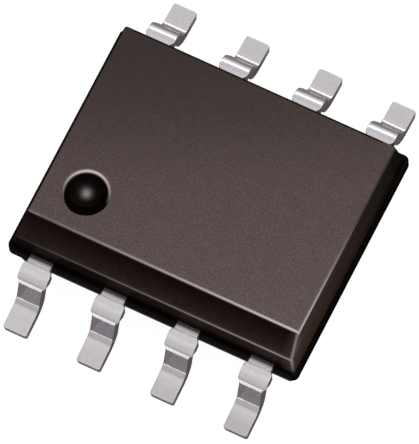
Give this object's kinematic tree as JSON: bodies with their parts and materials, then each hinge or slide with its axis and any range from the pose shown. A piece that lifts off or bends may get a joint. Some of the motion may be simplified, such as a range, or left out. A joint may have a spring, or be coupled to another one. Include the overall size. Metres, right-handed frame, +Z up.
{
  "type": "small-outline integrated circuit",
  "caption": "Gull-wing surface-mount chip in a black moulded body with a bevelled pin-one edge and a round dimple.",
  "frame": {"origin": "on the seating plane, under the middle of the body", "axes": "+X along the rows of leads, from the pin-one end; +Y across the package, away from the pin-one row; +Z up, out of the board"},
  "size_m": [0.005, 0.006, 0.0016],
  "materials": {
    "mould_compound": "fine matt",
    "tinned_copper": "matt tin plate",
    "bare_copper": "rolled",
    "silver_epoxy": "cured paste",
    "silicon": "polished",
    "gold": "drawn"
  },
  "bodies": {
    "root": {"mold_body": "mould_compound", "lead_1": "tinned_copper", "lead_2": "tinned_copper", "lead_3": "tinned_copper", "lead_4": "tinned_copper", "lead_5": "tinned_copper", "lead_6": "tinned_copper", "lead_7": "tinned_copper", "lead_8": "tinned_copper", "die_pad": "bare_copper", "die_attach": "silver_epoxy", "silicon_die": "silicon", "bond_wire_1": "gold", "bond_wire_2": "gold", "bond_wire_3": "gold", "bond_wire_4": "gold", "bond_wire_5": "gold", "bond_wire_6": "gold", "bond_wire_7": "gold", "bond_wire_8": "gold"}
  },
  "joints": []
}
